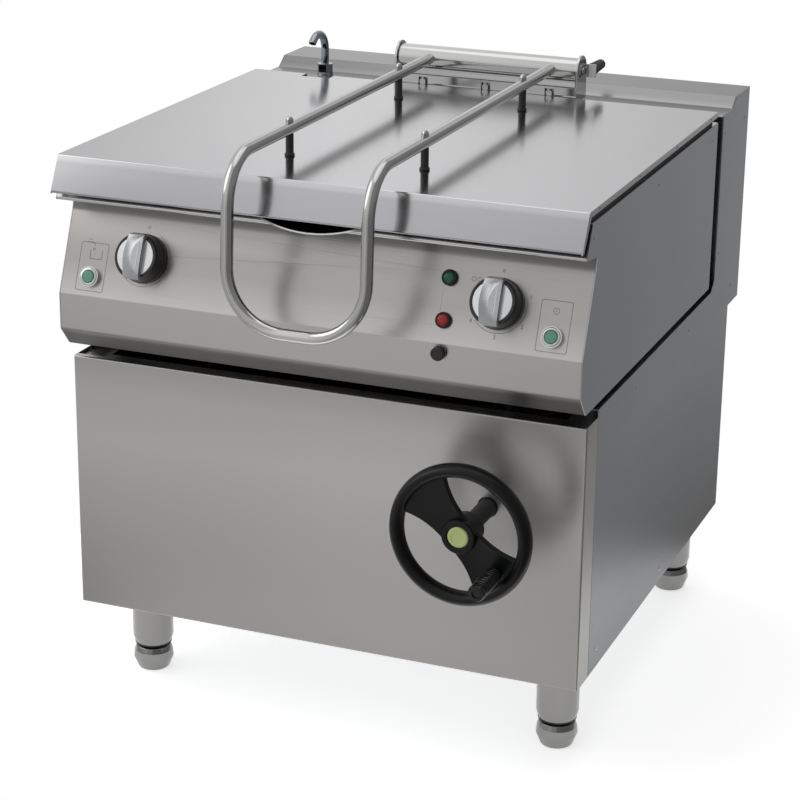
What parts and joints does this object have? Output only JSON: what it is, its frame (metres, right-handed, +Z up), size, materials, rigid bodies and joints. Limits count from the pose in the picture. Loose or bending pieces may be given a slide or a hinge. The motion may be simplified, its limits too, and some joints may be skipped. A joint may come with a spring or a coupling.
{
  "type": "tilting bratt pan",
  "caption": "Free-standing tilting bratt pan: box cabinet on feet, forward-tipping pan with pouring lip and lift-up lid, cranked screw drive, rear column with water tap.",
  "frame": {"origin": "on the floor, under the middle of the bounding box", "axes": "+Z up, +Y to the rear column, +X to the operator's right; the operator and the pouring lip are at -Y"},
  "size_m": [0.8, 1.0428, 0.923],
  "materials": {
    "stainless": "fine ground stainless sheet",
    "stainless_bar": "polished stainless bar and turned parts",
    "galvanised": "galvanised or plain steel behind the casing",
    "cast": "painted casting",
    "bronze": "bronze bearing",
    "copper": "copper pipe and brass fittings",
    "black_plastic": "black moulded plastic",
    "grey_plastic": "grey moulded plastic",
    "green_plastic": "green push button",
    "yellow_plastic": "yellow-green cap",
    "red_plastic": "red reset button",
    "rubber": "black rubber",
    "wool": "mineral wool"
  },
  "bodies": {
    "cabinet": {"front_panel": "stainless", "side_panel_right": "stainless", "side_panel_left": "stainless", "column_casing": "stainless", "rear_covers": "galvanised", "base_frame": "galvanised", "upper_frame": "galvanised", "legs": "stainless", "feet": "stainless_bar", "rest_buffers": "rubber", "hook_brackets": "galvanised", "trunnion_bushes": "bronze", "jack_housing": "cast", "jack_shelf": "galvanised", "tap_base": "stainless_bar", "water_valve": "copper", "water_pipes": "copper", "rear_connections": "copper", "electrics": "grey_plastic"},
    "pan": {"body_side_right": "stainless", "body_side_left": "stainless", "fascia": "stainless", "body_rear_wall": "stainless", "under_cover": "galvanised", "body_rails": "galvanised", "pan_well": "stainless", "pan_deck": "stainless", "pan_base_plate": "galvanised", "heating_elements": "galvanised", "element_tray": "galvanised", "insulation": "wool", "tilt_axle": "galvanised", "tilt_lever": "galvanised", "switch_bodies": "grey_plastic", "button_rings": "stainless_bar", "lamps": "black_plastic", "hinge_bracket": "stainless", "bracket_bolts": "stainless_bar", "hinge_shaft": "stainless_bar", "lid_springs": "stainless_bar", "lid_stop": "rubber"},
    "lid": {"lid_shell": "stainless", "lid_liner": "stainless", "lid_seal": "rubber", "hinge_tube": "stainless_bar", "lid_handle": "stainless_bar", "arm_posts": "black_plastic"},
    "lifting_screw": {"jack_screw": "stainless_bar"},
    "crank_wheel": {"crank_spindle": "stainless_bar", "spindle_sleeve": "black_plastic", "handwheel": "black_plastic", "wheel_cap": "yellow_plastic", "grip_bolt": "stainless_bar"},
    "turning_grip": {"wheel_grip": "black_plastic"},
    "right_knob": {"knob_right": "black_plastic"},
    "left_knob": {"knob_left": "black_plastic"},
    "right_button": {"button_right": "green_plastic"},
    "left_button": {"button_left": "green_plastic"},
    "reset": {"reset_button": "black_plastic"},
    "spout": {"tap_spout": "stainless_bar"}
  },
  "joints": [
    {"name": "tilt", "type": "hinge", "parent": "cabinet", "child": "pan", "pos_m": [0, -0.30235, 0.618], "axis": [1, 0, 0], "range_deg": [0, 90]},
    {"name": "screw_lift", "type": "slide", "parent": "cabinet", "child": "lifting_screw", "axis": [0, 0, 1], "range_m": [0, 0.14]},
    {"name": "crank", "type": "hinge", "parent": "cabinet", "child": "crank_wheel", "pos_m": [0.258, -0.32735, 0.408], "axis": [0, 1, 0], "range_deg": [0, 8400]},
    {"name": "grip_turn", "type": "hinge", "parent": "crank_wheel", "child": "turning_grip", "pos_m": [0.31162, -0.47735, 0.36301], "axis": [0, 1, 0], "continuous": true},
    {"name": "lid_open", "type": "hinge", "parent": "pan", "child": "lid", "pos_m": [0.0055, 0.35265, 0.896], "axis": [-1, 0, 0], "range_deg": [0, 90]},
    {"name": "power_knob", "type": "hinge", "parent": "pan", "child": "right_knob", "pos_m": [0.271, -0.33805, 0.71246], "axis": [0, 0.9257, -0.3783], "range_deg": [0, 216]},
    {"name": "heat_knob", "type": "hinge", "parent": "pan", "child": "left_knob", "pos_m": [-0.271, -0.33805, 0.71246], "axis": [0, 0.9257, -0.3783], "range_deg": [0, 270]},
    {"name": "right_press", "type": "slide", "parent": "pan", "child": "right_button", "axis": [0, 0.9257, -0.3783], "range_m": [0, 0.003], "stiffness_N_per_m": 600, "springref_m": -0.002},
    {"name": "left_press", "type": "slide", "parent": "pan", "child": "left_button", "axis": [0, 0.9257, -0.3783], "range_m": [0, 0.003], "stiffness_N_per_m": 600, "springref_m": -0.002},
    {"name": "reset_press", "type": "slide", "parent": "pan", "child": "reset", "axis": [0, 1, 0], "range_m": [0, 0.003], "stiffness_N_per_m": 600, "springref_m": -0.002},
    {"name": "spout_turn", "type": "hinge", "parent": "cabinet", "child": "spout", "pos_m": [-0.303, 0.38865, 0.87], "axis": [0, 0, 1], "range_deg": [-90, 90]}
  ],
  "couplings": [
    {"joint": "screw_lift", "follows": "tilt", "m_per_rad": 0.089127},
    {"joint": "crank", "follows": "tilt", "ratio": 93.333}
  ]
}
